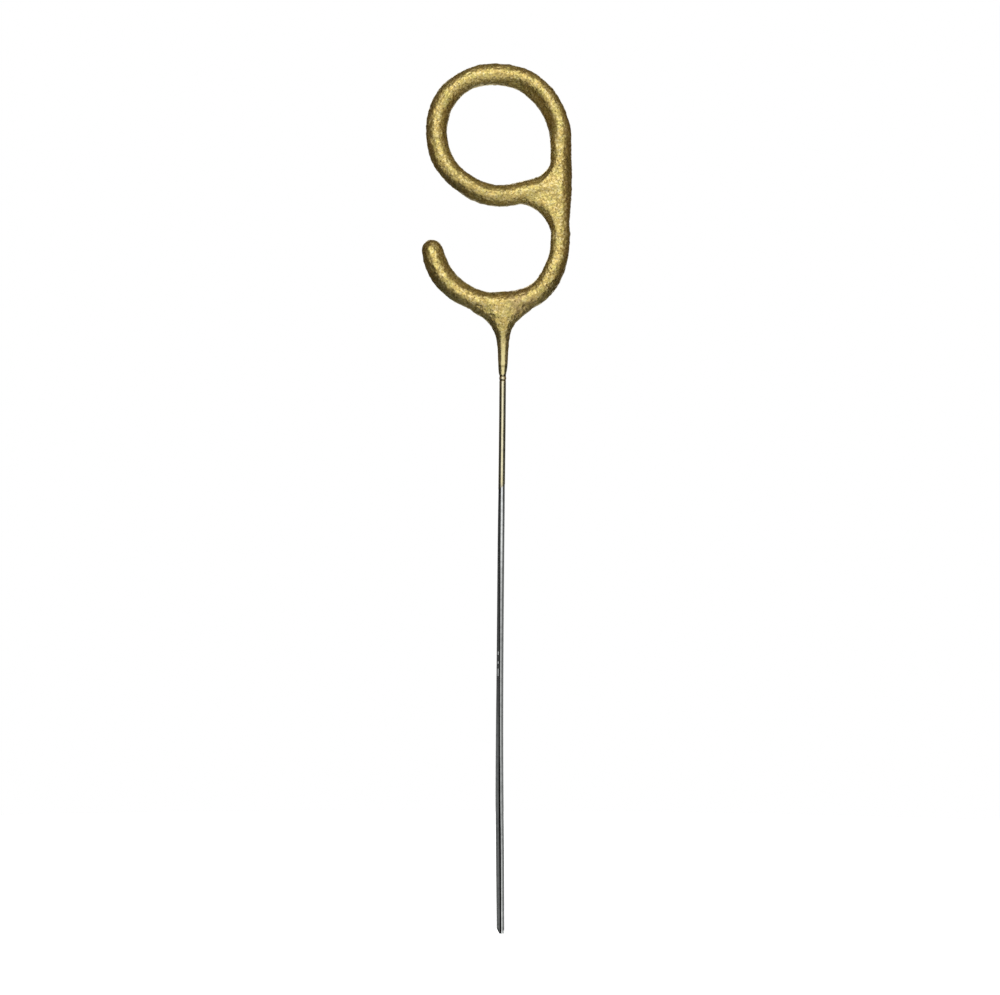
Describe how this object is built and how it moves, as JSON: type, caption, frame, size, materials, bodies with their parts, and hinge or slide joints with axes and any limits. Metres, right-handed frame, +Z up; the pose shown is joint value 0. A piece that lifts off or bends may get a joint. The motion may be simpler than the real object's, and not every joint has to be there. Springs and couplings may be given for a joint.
{
  "type": "numeral sparkler",
  "caption": "Hand-held sparkler with a gold-lacquered bead of burning composition bent into the numeral nine, on a thin straight steel wire handle.",
  "frame": {"origin": "cut tip of the handle, on the axis of its straight bare wire", "axes": "+Z up the handle towards the numeral; the numeral lies in the XZ plane and reads the right way round when seen along +Y, with +X to its right"},
  "size_m": [0.0305, 0.0042, 0.1781],
  "materials": {
    "steel_wire": "drawn wire, bare and slightly darkened",
    "weld_metal": "as welded",
    "composition": "dry, granular and matt",
    "gold_lacquer": "grainy metallic gold"
  },
  "bodies": {
    "root": {"handle_wire": "steel_wire", "numeral_wire": "steel_wire", "handle_weld": "weld_metal", "loop_weld": "weld_metal", "composition": "composition", "gold_lacquer": "gold_lacquer"}
  },
  "joints": []
}
